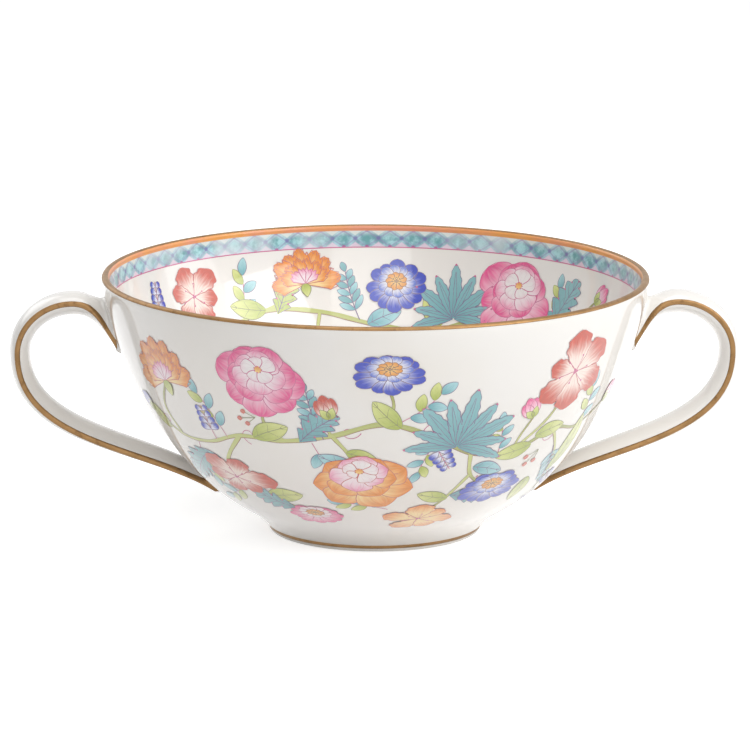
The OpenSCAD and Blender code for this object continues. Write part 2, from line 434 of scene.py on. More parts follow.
class Form:
    """The cup's curves in millimetres: radius against height for the bowl, and the two faces
    of the strap in the plane y = 0 for the handles."""

    # Powers of the bowl's curves, and how far below the table the outside would close
    SHOULDER, BELLY, HOLLOW, SINK = 1.43, 2.56, 2.62, 0.5
    # Radius of the ring's edges, height of the sweep into the belly, depth of the recess
    FOOT_ROUND, SWEEP, RECESS = 0.6, 1.4, 1.7
    # The strap's crown, out and down from the rim, and its side, each with its thickness
    CROWN_OUT, CROWN_DROP, CROWN_THICK, SIDE_DROP, SIDE_THICK = 5.6, 3.4, 4.6, 15.4, 4.1
    # Drops of the upper root's ends from the rim, and heights of the lower root's ends
    ROOT_TOP_DROP, ROOT_FOOT_DROP, TIP_Z, TIP_IN_Z = 5.2, 15.0, 6.6, 11.6
    # Share of a quarter bend that its two pulls take, and where the outer face's last bend stops
    ROUND, OUTER_END = 0.55, 0.93
    # Rows along each bend of the strap, rows that close its tip, and how long that end is
    STEPS, END_ROWS, END_LENGTH = 56, 10, 0.7
    # Reach of the fillet where the strap meets the wall, and its height as a share of that
    FILLET, FILLET_SHARE = 1.3, 0.75

    def __init__(self, sizes):
        self.rim = (sizes.rim - 2 * sizes.film) / MM
        self.height = (sizes.height - 2 * sizes.film) / MM
        for key in ("reach", "lip", "floor", "foot", "foot_width", "foot_height"):
            setattr(self, key, getattr(sizes, key) / MM)
        self.lip_z = self.height - self.lip / 2

    def curve(self, z, top, bottom, power):
        """Radius = top * (1 - t^1.43)^(1/power), with t from 0 at the lip to 1 at the bottom."""
        t = np.clip((self.lip_z - z) / (self.lip_z - bottom), 0, 1)
        return top * (1 - t ** self.SHOULDER) ** (1 / power)

    def wall(self, z):
        """Outer radius of the bowl at a height."""
        return self.curve(z, self.rim, -self.SINK, self.BELLY)

    def hollow(self, z):
        """Inner radius of the bowl at a height."""
        return self.curve(z, self.rim - self.lip, self.floor, self.HOLLOW)

    def outer_side(self, steps):
        """(radius, height) down the outside from the lip to the foot ring, closer together
        where the belly is flatter."""
        low = (self.foot_height + self.SWEEP + self.SINK) / (self.lip_z + self.SINK)
        q = np.linspace(1, low ** (1 / self.BELLY), steps)
        z = q ** self.BELLY * (self.lip_z + self.SINK) - self.SINK
        return np.stack([self.wall(z), z], 1)

    def inner_side(self, steps):
        """(radius, height) down the inside from the lip to the middle of the floor."""
        q = np.linspace(1, 0, steps)
        z = self.floor + (self.lip_z - self.floor) * q ** 2.6
        return np.stack([self.hollow(z), z], 1)

    def lip_arc(self, start, end, steps, lift=0.0):
        """Points of the rounded lip, by angle from its outside, raised by lift."""
        return arc((self.rim - self.lip / 2, self.lip_z), self.lip / 2 + lift, start, end, steps)

    def foot_wall(self):
        """(radius, height) from the ring's standing edge up its hollow side to the belly."""
        edge = arc((self.foot - self.FOOT_ROUND, self.FOOT_ROUND), self.FOOT_ROUND, 270, 350, 8)
        top = self.foot_height + self.SWEEP
        joint = np.array([self.wall(top), top])
        along = np.array([self.wall(top + 0.1), top + 0.1]) - joint
        along /= np.linalg.norm(along)
        side = bezier([edge[-1], edge[-1] + (0, 0.3 * self.foot_height),
                       joint - along * self.SWEEP * 1.7, joint], 20)
        return edge, side

    def section_line(self):
        """The bowl's whole outline from the middle of the underside round to the middle of
        the floor."""
        inner = self.foot - self.foot_width + self.FOOT_ROUND
        corner = np.array([inner - self.RECESS, self.RECESS])
        under = np.stack([np.linspace(0.6, corner[0] - 0.7, 12), np.full(12, self.RECESS)], 1)
        inside = arc((inner, self.FOOT_ROUND), self.FOOT_ROUND, 200, 270, 7)
        blend = bezier([under[-1], corner, corner, inside[0]], 7)[1:-1]
        edge, side = self.foot_wall()
        outer = self.outer_side(84)[::-1]
        return np.concatenate([under, blend, inside, edge, side[1:-1], outer,
                               self.lip_arc(0, 180, 15)[1:-1], self.inner_side(100)[:-1]])

    def strap(self):
        """Outer and inner face of the strap along its middle, each three Bezier bends: out of
        the wall, over the crown to the side, and down to the tip on the belly, where a quarter
        round turns the outer face into the wall."""
        crown = np.array([self.rim + self.CROWN_OUT, self.height - self.CROWN_DROP])
        side = np.array([self.reach, self.height - self.SIDE_DROP])
        crown_in, side_in = crown - (0, self.CROWN_THICK), side - (self.SIDE_THICK, 0)
        root_top, root_foot, tip, tip_in = (np.array([self.wall(z), z]) for z in (
            self.height - self.ROOT_TOP_DROP, self.height - self.ROOT_FOOT_DROP, self.TIP_Z, self.TIP_IN_Z))
        along = (tip_in - tip) / np.linalg.norm(tip_in - tip)
        off = np.array([along[1], -along[0]])

        def quarter(top, out):
            return [top, top + ((out[0] - top[0]) * self.ROUND, 0),
                    out + (0, (top[1] - out[1]) * self.ROUND), out]

        def bends(first, second, third, end):
            return np.concatenate([bezier(first, self.STEPS)[:-1], bezier(second, self.STEPS)[:-1],
                                   bezier(third, self.STEPS, end)])

        outer = bends(
            [root_top - (3, 0), root_top + (2.8, 0), crown - (2.8, 0), crown], quarter(crown, side),
            [side, side + (0, (self.TIP_Z - side[1]) * 0.72),
             tip + along * np.linalg.norm(side - tip) * 0.33 + off * 0.6, tip + off * 0.9],
            self.OUTER_END)
        inner = bends(
            [root_foot - (3, 0), root_foot + (3, -0.6), crown_in - (6.4, 0), crown_in],
            quarter(crown_in, side_in),
            [side_in, side_in + (0, (tip_in[1] - side_in[1]) * 0.64),
             tip_in + (side_in - tip_in) * (0.27, 0.34), tip_in - (3, 1)], 1.0)
        turn = np.linspace(0, np.pi / 2, self.END_ROWS + 1)[1:, None]
        sunk = along * self.END_LENGTH * np.sin(turn)
        close = outer[-1] - sunk - off * 2.6 * (1 - np.cos(turn))
        return np.concatenate([outer, close]), np.concatenate([inner, inner[-1] - sunk])

    def lens(self, angles):
        """The right strap's surface at the given angles round its section: a lens whose faces
        leave its edges as |sin a|^1.2, and whose width and edges move along the strap. The
        half width goes from 5.3 at the root to 4 at the side and 4.5 at the tip. The edges
        hang a little at the upper root. The angles are one row, or a row for each step."""
        outer, inner = self.strap()
        a = np.broadcast_to(angles, (len(outer), np.shape(angles)[-1]))
        s = self.share(len(outer))[:, None]
        half = np.where(s < 0.4, 5.3 - 1.3 * smooth(s / 0.4), 4 + 0.5 * smooth((s - 0.4) / 0.6))
        half[-self.END_ROWS:] *= np.sqrt(1 - np.linspace(0, 0.75, self.END_ROWS)[:, None] ** 2)
        place = 0.9 - 0.52 * smooth(s / 0.22) - 0.2 * smooth((s - 0.72) / 0.28)
        edge = outer + (inner - outer) * place + (1 - smooth(s / 0.17)) * (1.2, -0.2)
        face = np.where((np.sin(a) > 0)[..., None], outer[:, None], inner[:, None])
        flat = edge[:, None] + (face - edge[:, None]) * (np.abs(np.sin(a)) ** 1.2)[..., None]
        return np.stack([flat[..., 0], half * np.cos(a), flat[..., 1]], -1)

    def share(self, rows):
        """Share of the strap's length at each row: 1 along the rows that close its tip."""
        return np.concatenate([np.linspace(0, 1, rows - self.END_ROWS), np.ones(self.END_ROWS)])

    def gap(self, grid):
        """How far points lie outside the bowl's wall."""
        return np.hypot(grid[..., 0], grid[..., 1]) - self.wall(grid[..., 2])

    def seated(self, grid, clear, wrap):
        """A strap's surface as it meets the bowl: swelled along its normals by a quarter round
        within the fillet's reach of the wall, and kept at least clear outside the wall."""
        q = np.clip(1 - self.gap(grid) / self.FILLET, 0, 0.98)
        rise = self.FILLET_SHARE * self.FILLET * (1 - np.sqrt(1 - q ** 2))
        grid = grid + grid_normals(grid, wrap) * rise[..., None]
        around = np.hypot(grid[..., 0], grid[..., 1])
        least = np.maximum(around, self.wall(grid[..., 2]) + clear)
        grid[..., :2] *= (least / np.maximum(around, 1e-6))[..., None]
        return grid

    def handle(self, points=64):
        """The right handle as closed rings of points, its ends sunk in the wall."""
        return self.seated(self.lens(np.linspace(0, 2 * np.pi, points, endpoint=False)), -0.8, True)


def grid_normals(grid, wrap):
    """Outward unit normals of a strap's grid: the cross product of its two differences, turned
    away from the middle of the section, which lies towards y = 0 and the strap's middle."""
    along = np.gradient(grid, axis=0)
    around = np.roll(grid, -1, 1) - np.roll(grid, 1, 1) if wrap else np.gradient(grid, axis=1)
    normal = unit(np.cross(along, around))
    return normal * np.sign((normal[..., 1] * grid[..., 1]).sum())


def turned(section, segments):
    """An outline of (radius, height) carried round the axis: x = r cos a, y = r sin a."""
    a = np.linspace(0, 2 * np.pi, segments, endpoint=False)
    r, z = section[:, :1], section[:, 1:]
    return np.stack([r * np.cos(a), r * np.sin(a), z + 0 * a], -1)


def closed_tube(grid):
    """Points, quads and end triangles of rings closed at both ends by a pole in the middle of
    the first and the last ring."""
    rows, columns = grid.shape[:2]
    points = np.concatenate([grid.reshape(-1, 3), grid[:1].mean(1), grid[-1:].mean(1)])
    last = np.arange((rows - 1) * columns, rows * columns)
    ends = caps(np.arange(columns), last, rows * columns, rows * columns + 1)
    return points, *shell_faces(points, grid_quads(1, rows, columns, wrap=True), ends)


def joined(shells):
    """Several closed shells in one piece: all their points, and all their quads and then all
    their end triangles, each moved on by the points before its own."""
    points, quads, ends = zip(*shells)
    starts = np.cumsum([0, *map(len, points)])
    return np.concatenate(points), [
        np.concatenate([part + start for part, start in zip(faces, starts)]) for faces in (quads, ends)]


def mirrored(grid):
    """The same rings on the other side of the cup."""
    return grid * (-1, 1, 1)


# Painting.


class Wall:
    """One side of the bowl as a ground to paint on. A point on it is an angle, in degrees from
    the middle of the panel to the right of someone who looks at it, a depth down from the lip
    along the wall, and a lift above the glaze."""

    def __init__(self, form, outside, panel=0.0):
        lip = form.lip_arc(14, 0, 6) if outside else form.lip_arc(110, 180, 12)
        side = form.outer_side(1500) if outside else form.inner_side(1500)
        line = np.concatenate([lip[:-1], side])
        self.radius, self.z = line[:, 0], line[:, 1]
        self.normal = beside_line(line) * (-1 if outside else 1)
        self.depth = np.concatenate([[0], np.cumsum(np.linalg.norm(np.diff(line, axis=0), axis=1))])
        self.facing = -1 if outside else 1
        self.panel = math.radians(panel)

    def at(self, depth, values):
        return np.interp(depth, self.depth, values)

    def points(self, angle, depth, lift):
        """Points in space: the side's outline at that depth, moved along its normal by lift,
        and turned round the axis by angle."""
        r = self.at(depth, self.radius) + lift * self.at(depth, self.normal[:, 0])
        z = self.at(depth, self.z) + lift * self.at(depth, self.normal[:, 1])
        x, y = r * np.sin(angle), self.facing * r * np.cos(angle)
        c, s = math.cos(self.panel), math.sin(self.panel)
        return np.stack([c * x - s * y, s * x + c * y, z], -1)

    def spot(self, flat, at):
        """Angle and depth of flat points, (right, up) in millimetres about the spot at."""
        depth = at[1] - flat[..., 1]
        return math.radians(at[0]) + flat[..., 0] / np.maximum(self.at(depth, self.radius), 1), depth


def stroke(across, along):
    """The place of each point of a patch on its stroke: across it, and along it."""
    return np.stack(np.meshgrid(across, along), -1)[None]


def paired(across, along):
    """Flat points from their two parts, spread to one shape."""
    return np.stack(np.broadcast_arrays(across, along), -1)


def spun(flat, degrees):
    """Flat points turned anticlockwise about the spot."""
    a = math.radians(degrees)
    return flat @ np.array([[math.cos(a), math.sin(a)], [-math.sin(a), math.cos(a)]])


def posed(flat, size, squash):
    """Flat points scaled, and flattened downwards as a disc seen aslant."""
    return flat * (1, squash) * size


def raised(at, up):
    """The spot that lies up millimetres above another."""
    return at[0], at[1] - up


def set_off(form, hand, size, root):
    """The shape form turned by hand, scaled, and moved from the spot to root."""
    def shape(s, t):
        return spun(form(s, t), hand) * size + root
    return shape


def circle(radius, count, first=0.0):
    """Flat points spaced evenly round a circle."""
    a = np.radians(ring(count, first))
    return radius * np.stack([np.cos(a), np.sin(a)], 1)


def ring(count, first=0.0):
    """Even turns of a ring of petals, in degrees."""
    return first + np.arange(count) * 360.0 / count


def fan_petal(long, half, tip=0.4, waist=0.7, notch=0.0, waves=3):
    """Petal that widens to a round tip: along = long (s (1 - tip s t^2) + notch s^3 cos(waves pi t)),
    across = half s^waist t."""
    def shape(s, t):
        along = long * (s * (1 - tip * s * t * t) + notch * s ** 3 * np.cos(waves * np.pi * t))
        return paired(half * s ** waist * t, along)
    return shape


def pointed_petal(long, half, widest=1.3, full=0.75, curl=0.0, ruffle=0.0, waves=5):
    """Petal or leaf that closes at both ends: across = half sin(pi s^widest)^full t with a
    ruffled edge, bent sideways by curl s^2."""
    def shape(s, t):
        width = half * np.sin(np.pi * np.clip(s, 0, 1) ** widest) ** full
        width = width * (1 + ruffle * np.sin(waves * 2 * np.pi * s) * s)
        return paired(width * t + curl * long * s * s, long * s)
    return shape


def lobed_leaf(long, half, lobes=5, cut=0.45, lean=0.16, curl=0.0):
    """Leaf with lobes that point forwards: its width grows along each lobe and drops at its
    end, and its edges run ahead of the midrib by lean."""
    def shape(s, t):
        step = np.clip(s, 0, 1) * lobes
        saw = step - np.floor(np.minimum(step, lobes - 1e-6))
        width = half * np.sin(np.pi * np.clip(s, 1e-4, 1 - 1e-4) ** 0.82) ** 0.7
        width = width * (1 - cut + cut * saw ** 0.8 * (1 - smooth((saw - 0.75) / 0.25)))
        ahead = lean * long * np.abs(t) ** 1.5 * np.sin(np.pi * s) ** 0.5
        return paired(width * t + curl * long * s * s, long * s + ahead)
    return shape


class Palette:
    """Films of enamel kept by colour, until each colour is written as one piece."""

    def __init__(self, finishes):
        self.finishes = finishes
        self.films = {}

    def keep(self, tone, points, uv):
        """Keeps grids of points, with the place of each point on its stroke."""
        self.films.setdefault(tone, []).append((points, np.broadcast_to(uv, (*points.shape[:3], 2))))

    def write(self, prefix):
        """Makes one piece of each colour."""
        for tone, grids in self.films.items():
            points, quads, uvs, start = [], [], [], 0
            for grid, uv in grids:
                count, rows, columns = grid.shape[:3]
                points.append(grid.reshape(-1, 3))
                uvs.append(uv.reshape(-1, 2))
                quads.append(grid_quads(count, rows, columns) + start)
                start += count * rows * columns
            write_piece(f"{prefix}_{tone}", np.concatenate(points), [np.concatenate(quads)],
                        self.finishes[tone], np.clip(np.concatenate(uvs), 0, 1))


# The outline that each enamel has unless a motif asks for another.
EDGES = {
    "turquoise": "plum_line", "aqua_leaf": "plum_line", "green_big": "plum_line", "leaf": "olive_line",
    "cobalt": "plum_line", "cobalt_pale": "plum_line", "rose": "magenta_line", "blush": "magenta_line",
    "rose_pale": "magenta_line", "iron_red": "red_line", "orange_petal": "red_line", "orange": "brown_line",
}


class Painter:
    """Lays films of enamel on one side of the bowl. Each layer lies a little above the last."""

    # Height of a layer, how far an outline lies above its shape in layers, and how much a
    # hand strays in a shape's turn in degrees and in its size
    LAYER, OUTLINE, STRAY_TURN, STRAY_SIZE = 0.005, 0.6, 3.5, 0.05
    # How much narrower stalks are than their widths say, and how far their dark side shows
    STALK, SHADE = 0.75, 0.16

    def __init__(self, wall, film, palette, seed=1):
        self.wall = wall
        self.ground = film
        self.palette = palette
        self.random = np.random.default_rng(seed)

    def lift(self, layer):
        return self.ground + self.LAYER * layer

    def patches(self, tone, flat, at, layer, uv, tilt=0.0):
        """Grids of flat points laid at a spot; tilt raises each towards its right edge, so that
        neighbours in a ring overlap like tiles."""
        angle, depth = self.wall.spot(flat, at)
        rise = self.lift(layer) + tilt * self.LAYER * uv[..., 0]
        self.palette.keep(tone, self.wall.points(angle, depth, rise), uv)

    def line(self, tone, flat, at, width, layer, tilt=None):
        """Ribbons of the given full width along flat lines at a spot."""
        angle, depth = self.wall.spot(flat, at)
        self.ribbon(tone, angle, depth, width, layer, tilt)

    def ribbon(self, tone, angle, depth, width, layer, tilt=None):
        """Ribbons along lines on the wall: the centre line moved to either side by half the
        width, across the wall's normal and the line's own direction."""
        rise = self.lift(layer) + (0 if tilt is None else tilt * self.LAYER)
        middle = self.wall.points(angle, depth, rise)
        above = self.wall.points(angle, depth, rise + 1.0) - middle
        side = unit(np.cross(np.gradient(middle, axis=1), above))
        reach = np.broadcast_to(width, middle.shape[:2])[..., None] / 2
        points = np.stack([middle - side * reach, middle + side * reach], 2)
        self.palette.keep(tone, points, stroke([0.0, 1.0], np.linspace(0, 1, points.shape[1])))

    def dots(self, tone, flat, at, radius, layer):
        """Round dots about flat points, each a small grid whose rows are chords of the disc."""
        v = np.linspace(-1, 1, 5)
        chord = np.sqrt(np.maximum(1 - v * v, 0.02))
        disc = np.stack([chord[:, None] * np.array([-1.0, 0.0, 1.0]), np.repeat(v[:, None], 3, 1)], -1)
        radius = np.broadcast_to(radius, flat.shape[:1])[:, None, None, None]
        self.patches(tone, flat[:, None, None] + disc[None] * radius, at, layer,
                     stroke(np.linspace(0, 1, 3), np.linspace(0, 1, 5)))

    def shape(self, tone, form, at, turns, layer, size=1.0, squash=1.0, edge=None, rows=12, columns=7,
              width=0.14, pointed=True, tilt=0.0, loose=0.0):
        """Copies of one shape, each turned by one of turns, with their outlines. A pointed
        shape closes at its end, and the outline of another goes round it. loose lets a hand's
        unevenness into turns and sizes."""
        turns = np.atleast_1d(np.asarray(turns, float))
        turns = turns + loose * self.random.normal(0, self.STRAY_TURN, len(turns))
        sizes = 1 + loose * self.random.normal(0, self.STRAY_SIZE, len(turns))
        s, t = np.linspace(0, 1, rows), np.linspace(-1, 1, columns)

        def place(flat):
            return np.stack([posed(spun(flat, q) * k, size, squash) for q, k in zip(turns, sizes)])

        self.patches(tone, place(form(s[:, None], t[None, :])), at, layer, stroke((t + 1) / 2, s), tilt)
        up, one = np.linspace(0.02, 1, rows * 2), np.ones(rows * 2)
        if pointed:
            s, t = np.concatenate([up, up[::-1][1:]]), np.concatenate([-one, one[1:]])
        else:
            tip = np.linspace(-1, 1, columns * 4)
            s = np.concatenate([up, np.ones(len(tip) - 2), up[::-1]])
            t = np.concatenate([-one, tip[1:-1], one])
        press = 0.75 + 0.5 * np.sin(np.linspace(0.4, 5.9, len(s))) ** 2
        self.line(edge or EDGES[tone], place(form(s, t)), at, width * press, layer + self.OUTLINE,
                  tilt * (t + 1) / 2)

    def veins(self, tone, form, at, turn, layer, size, pairs, ahead=0.16, width=0.12):
        """The midrib of a leaf and pairs of side veins that leave it forwards."""
        s = np.linspace(0.03, 0.97, 16)
        self.line(tone, (spun(form(s, 0 * s), turn) * size)[None], at, width * 1.5, layer)
        root = np.linspace(0.12, 0.8, pairs)[:, None]
        q = np.linspace(0, 1, 7)[None]
        for hand in (-1, 1):
            flat = spun(form(root + ahead * q * (1 - 0.3 * q), hand * 0.82 * q + 0 * root), turn)
            self.line(tone, flat * size, at, width * np.linspace(1, 0.6, 7), layer)

    def stem(self, spots, widths, layer=2):
        """A stalk through spots of (angle, depth) as a smooth curve that swells here and there:
        a dark line that shows along its lower side under the green."""
        curve = smooth_through(np.array(spots, float), 16)
        angle, depth = np.radians(curve[:, 0])[None], curve[:, 1][None]
        width = np.interp(np.linspace(0, 1, len(curve)), np.linspace(0, 1, len(widths)), widths)
        width = self.STALK * width * (1 + 0.10 * np.sin(np.arange(len(curve)) * 0.55))
        self.ribbon("brown_line", angle, depth + 0.09, width + self.SHADE, layer)
        self.ribbon("stem", angle, depth, width, layer + 1)


def smooth_through(spots, steps):
    """Catmull-Rom curve through the spots, with steps points between each two."""
    p = np.concatenate([2 * spots[:1] - spots[1:2], spots, 2 * spots[-1:] - spots[-2:-1]])
    t = np.linspace(0, 1, steps, endpoint=False)[None, :, None]
    a, b, c, d = (p[i:len(p) - 3 + i, None] for i in range(4))
    curve = 0.5 * (2 * b + (c - a) * t + (2 * a - 5 * b + 4 * c - d) * t ** 2
                   + (3 * b - a - 3 * c + d) * t ** 3)
    return np.concatenate([curve.reshape(-1, spots.shape[1]), spots[-1:]])


# Motifs. Each is painted at a spot, with a size, a turn and its own layer: tendrils lie lowest,
# then sprays of small leaves, leaves, bells, big leaves, berries, and blossoms on top.


SMALL = {"rows": 10, "columns": 5, "width": 0.11}


def rose(paint, at, size, turn, squash=0.86, layer=15, tones=("rose", "rose", "blush", "rose_pale"),
         edge="magenta_line", full=0.5):
    """Full blossom seen aslant: rings of petals, deep outside and nearly white within, each ring
    higher than the last, round a dotted heart. full is low for round petals."""
    rings = ((7, 8.0, 3.3, 0.0), (6, 6.3, 2.9, 1.3), (6, 4.8, 2.3, 2.2), (5, 3.2, 1.6, 2.7))
    for k, (tone, (count, long, half, up)) in enumerate(zip(tones, rings)):
        paint.shape(tone, pointed_petal(long, half, 1.65, full, 0.0, 0.03, 3), raised(at, up * size),
                    ring(count, turn + 23 * k), layer + 4 * k, size, squash, edge, rows=16, tilt=2.0,
                    loose=1.7)
    heart = raised(at, 2.7 * size)
    paint.dots("orange", np.zeros((1, 2)), heart, 0.7 * size, layer + 16)
    paint.dots(edge, posed(circle(0.7, 7), size, squash), heart, 0.15 * size, layer + 17)


def daisy(paint, at, size, turn, squash=0.72, layer=15, petals=12, tone="cobalt"):
    """Flat blossom of narrow petals in two rings round a scalloped orange eye."""
    heart = raised(at, 1.3 * size)
    for wash, form, spot, turns, up, kit in (
            (tone, pointed_petal(7.0, 1.75, 2.0, 0.5), at, ring(petals, turn), 0,
             {"rows": 16, "loose": 1.2}),
            (f"{tone}_pale", pointed_petal(4.5, 1.3, 1.9, 0.5), heart, ring(petals - 2, turn + 9), 4,
             {"width": 0.11, "loose": 0.6}),
            ("orange", fan_petal(2.5, 0.95, 0.35, 0.8), heart, ring(9, turn + 8), 8,
             {"width": 0.12, "pointed": False})):
        paint.shape(wash, form, spot, turns, layer + up, size, squash, tilt=2.0, **kit)
    for radius, count in ((1.0, 8), (0.4, 4)):
        paint.dots("brown_line", posed(circle(radius, count), size, squash), heart, 0.14 * size, layer + 11)


def lily(paint, at, size, turn, squash=0.85, layer=15, petals=6, tone="iron_red"):
    """Open blossom of pointed ruffled petals, white at the heart, with long stamens."""
    paint.shape(tone, pointed_petal(8.6, 2.9, 1.6, 0.6, 0.07, 0.12, 4), at, ring(petals, turn), layer,
                size, squash, rows=22, columns=9, tilt=2.0, loose=1.8)
    q = np.linspace(0, 1, 8)
    for k, reach in enumerate((3.0, 3.7, 2.6, 3.4, 2.9, 3.5)):
        stalk = spun(np.stack([0.5 * q * (1 - q), reach * q], 1), turn + 31 + 60 * k)
        stalk = posed(stalk, size, squash)
        paint.line("magenta_line", stalk[None], at, 0.11, layer + 4)
        paint.dots("magenta_line", stalk[-1:], at, 0.2 * size, layer + 5)
    paint.dots("magenta_line", posed(circle(0.4, 3), size, squash), at, 0.26 * size, layer + 5)


def carnation(paint, at, size, turn, layer=15, tone="orange_petal", spread=165.0):
    """Blossom seen from the side: a fan of toothed petals above a green cup."""
    fans = ((tone, 7.4, 2.3, 0.07, 5, 7, 1.0), (tone, 5.4, 1.8, 0.08, 5, 6, 0.8),
            ("blush", 3.4, 1.3, 0.08, 3, 4, 0.6))
    for k, (wash, long, half, notch, waves, count, wide) in enumerate(fans):
        turns = turn + spread * wide * np.linspace(-0.5, 0.5, count)
        paint.shape(wash, fan_petal(long, half, 0.25, 0.7, notch, waves), at, turns, layer + 4 * k, size,
                    pointed=False, tilt=2.0, loose=0.7)
    paint.shape("leaf", pointed_petal(3.0, 1.1, 0.7, 0.8), at, turn + 180, layer + 9, size)


def bud(paint, at, size, turn, layer=15, tone="rose"):
    """Closed bud of three petals in a green cup."""
    for wash, long, half, widest, full, turns, up in (
            (tone, 4.2, 1.15, 1.1, 0.6, (-20, 20), 4.2 - 4), (tone, 4.8, 1.25, 1.1, 0.6, (0,), 4.8 - 4),
            ("leaf", 2.4, 0.75, 0.8, 0.8, (-28, 28), 2)):
        paint.shape(wash, pointed_petal(long, half, widest, full), at, turn + np.array(turns),
                    layer + up, size)


def bells(paint, at, size, turn, layer=8, tone="cobalt"):
    """Spike of small bells in pairs on a fine stalk, smaller towards its end."""
    q = np.linspace(0, 1, 12)
    paint.line("magenta_line", spun(np.stack([0 * q, 8 * q], 1) * size, turn)[None], at, 0.14, layer)
    for k, up in enumerate((2.4, 3.9, 5.4, 6.8)):
        form = pointed_petal(2.6 - 0.25 * k, 0.9 - 0.08 * k, 1.7, 0.5)
        for hand in (-62, 62):
            paint.shape(tone, set_off(form, hand, size, (0, up * size)), at, turn, layer + 1, width=0.11)


def big_leaf(paint, at, size, turn, layer=9, lobes=5, curl=0.1, tone="turquoise"):
    """Lobed leaf with plum veins and a dot at the end of each lobe."""
    form = lobed_leaf(13.0, 4.3, lobes, 0.5, 0.15, curl)
    paint.shape(tone, form, at, turn, layer, size, rows=lobes * 8 + 1, columns=9, width=0.13)
    paint.veins("plum_line", form, at, turn, layer + 1.2, size, lobes + 1)
    ends = np.append((np.arange(1, lobes) - 0.02) / lobes, 1.0)
    for hand in (-1.0, 1.0):
        tips = spun(form(ends, hand + 0 * ends), turn) * size
        paint.dots("magenta_line", tips, at, 0.22, layer + 1.5)


def palm_leaf(paint, at, size, turn, layer=10, fingers=9, spread=190.0):
    """Leaf of long narrow ragged fingers that spread from one point, with two veins in each and
    a dot at its end."""
    q = np.linspace(0.04, 0.86, 14)
    for k, way in enumerate(np.linspace(-0.5, 0.5, fingers)):
        reach = size * (1 - 0.9 * way * way + 0.06 * (-1) ** k)
        aim, above = turn - spread * way, layer + 0.8 * k
        form = pointed_petal(12.5, 1.5, 1.05, 0.55, 0.25 * way, 0.13, 6)
        paint.shape("turquoise", form, at, aim, above, reach, rows=30, columns=5, width=0.13)
        for side in (-0.36, 0.3):
            vein = spun(form(q, side * (1 - q * q)), aim) * reach
            paint.line("plum_line", vein[None], at, 0.1, above + 0.5)
        tip = spun(form(np.array([0.99]), np.array([0.0])), aim) * reach
        paint.dots("magenta_line", tip, at, 0.24, layer + 9)


def frond(paint, at, size, turn, layer=3, pairs=6, curl=0.12):
    """Narrow leaflets in pairs along a bent rib, shorter towards its end."""
    def rib(s):
        return paired(curl * 14 * s * s, 14 * s) * size

    paint.line("plum_line", spun(rib(np.linspace(0, 1, 24)), turn)[None], at, 0.2, layer + 2)
    for k, share in enumerate(np.linspace(0.22, 1.0, pairs)):
        form = pointed_petal(5.2 * (1 - 0.45 * share), 0.9, 1.1, 0.65)
        for hand in (0,) if share == 1.0 else (-48, 48):
            paint.shape("turquoise" if k % 2 else "aqua_leaf", set_off(form, hand, size, rib(share)),
                        at, turn, layer, **SMALL)


def leaf(paint, at, size, turn, layer=6, tone="leaf", curl=0.12, slim=1.0):
    """Plain lance-shaped leaf with a midrib."""
    form = pointed_petal(7.6, 1.9 * slim, 0.9, 0.7, curl)
    paint.shape(tone, form, at, turn, layer, size, rows=16)
    paint.veins(EDGES[tone], form, at, turn, layer + 1, size, 3, 0.2, 0.1)


def sprig(paint, at, size, turn, layer=3, tones=("aqua_leaf", "leaf"), bend=0.9):
    """A fine stalk with small leaves by turns on either side and one at its end."""
    q = np.linspace(0, 1, 24)
    flat = np.stack([bend * np.sin(2.4 * q), 11.0 * q], 1) * size
    paint.line("magenta_line", spun(flat, turn)[None], at, 0.15, layer)
    form = pointed_petal(4.2, 1.15, 0.95, 0.7, 0.1)
    for k, share in enumerate((0.28, 0.48, 0.68, 0.86, 1.0)):
        hand = 0 if share == 1.0 else (45 if k % 2 else -45)
        paint.shape(tones[k % 2], set_off(form, hand, size, flat[int(share * 23)]), at, turn,
                    layer + 1, **SMALL)


def tendril(paint, at, size, turn, layer=2):
    """A fine curl that tightens towards its end, with a dot there."""
    q = np.linspace(0, 1, 44)
    a = 5.2 * q ** 1.3
    flat = np.cumsum(np.stack([np.sin(a), np.cos(a)], 1) * (1 - 0.6 * q[:, None]), 0) * 0.19
    flat = spun(flat * size, turn)
    paint.line("magenta_line", flat[None], at, np.linspace(0.16, 0.1, 44), layer)
    paint.dots("magenta_line", flat[-1:], at, 0.2 * size, layer)


def berries(paint, at, size, turn, layer=12, tone="iron_dot"):
    """Three berries on short stalks."""
    q = np.linspace(0, 1, 8)
    for hand, reach in ((-30, 3.0), (4, 4.0), (34, 2.9)):
        flat = spun(np.stack([0 * q, reach * q], 1), turn + hand) * size
        paint.line("olive_line", flat[None], at, 0.13, layer)
        paint.dots(tone, flat[-1:], at, 0.62 * size, layer + 1)


# What is painted where: stalks as spots of (angle in degrees, depth in millimetres) with their
# widths from end to end, and each motif with its places as angle, depth, turn, size and options.

AQUA, COBALT, ROSE = {"tone": "aqua_leaf"}, {"tone": "cobalt"}, {"tone": "rose"}
DAHLIA = {"tones": ("orange_petal", "orange_petal", "blush", "rose_pale"), "edge": "red_line", "full": 0.8}

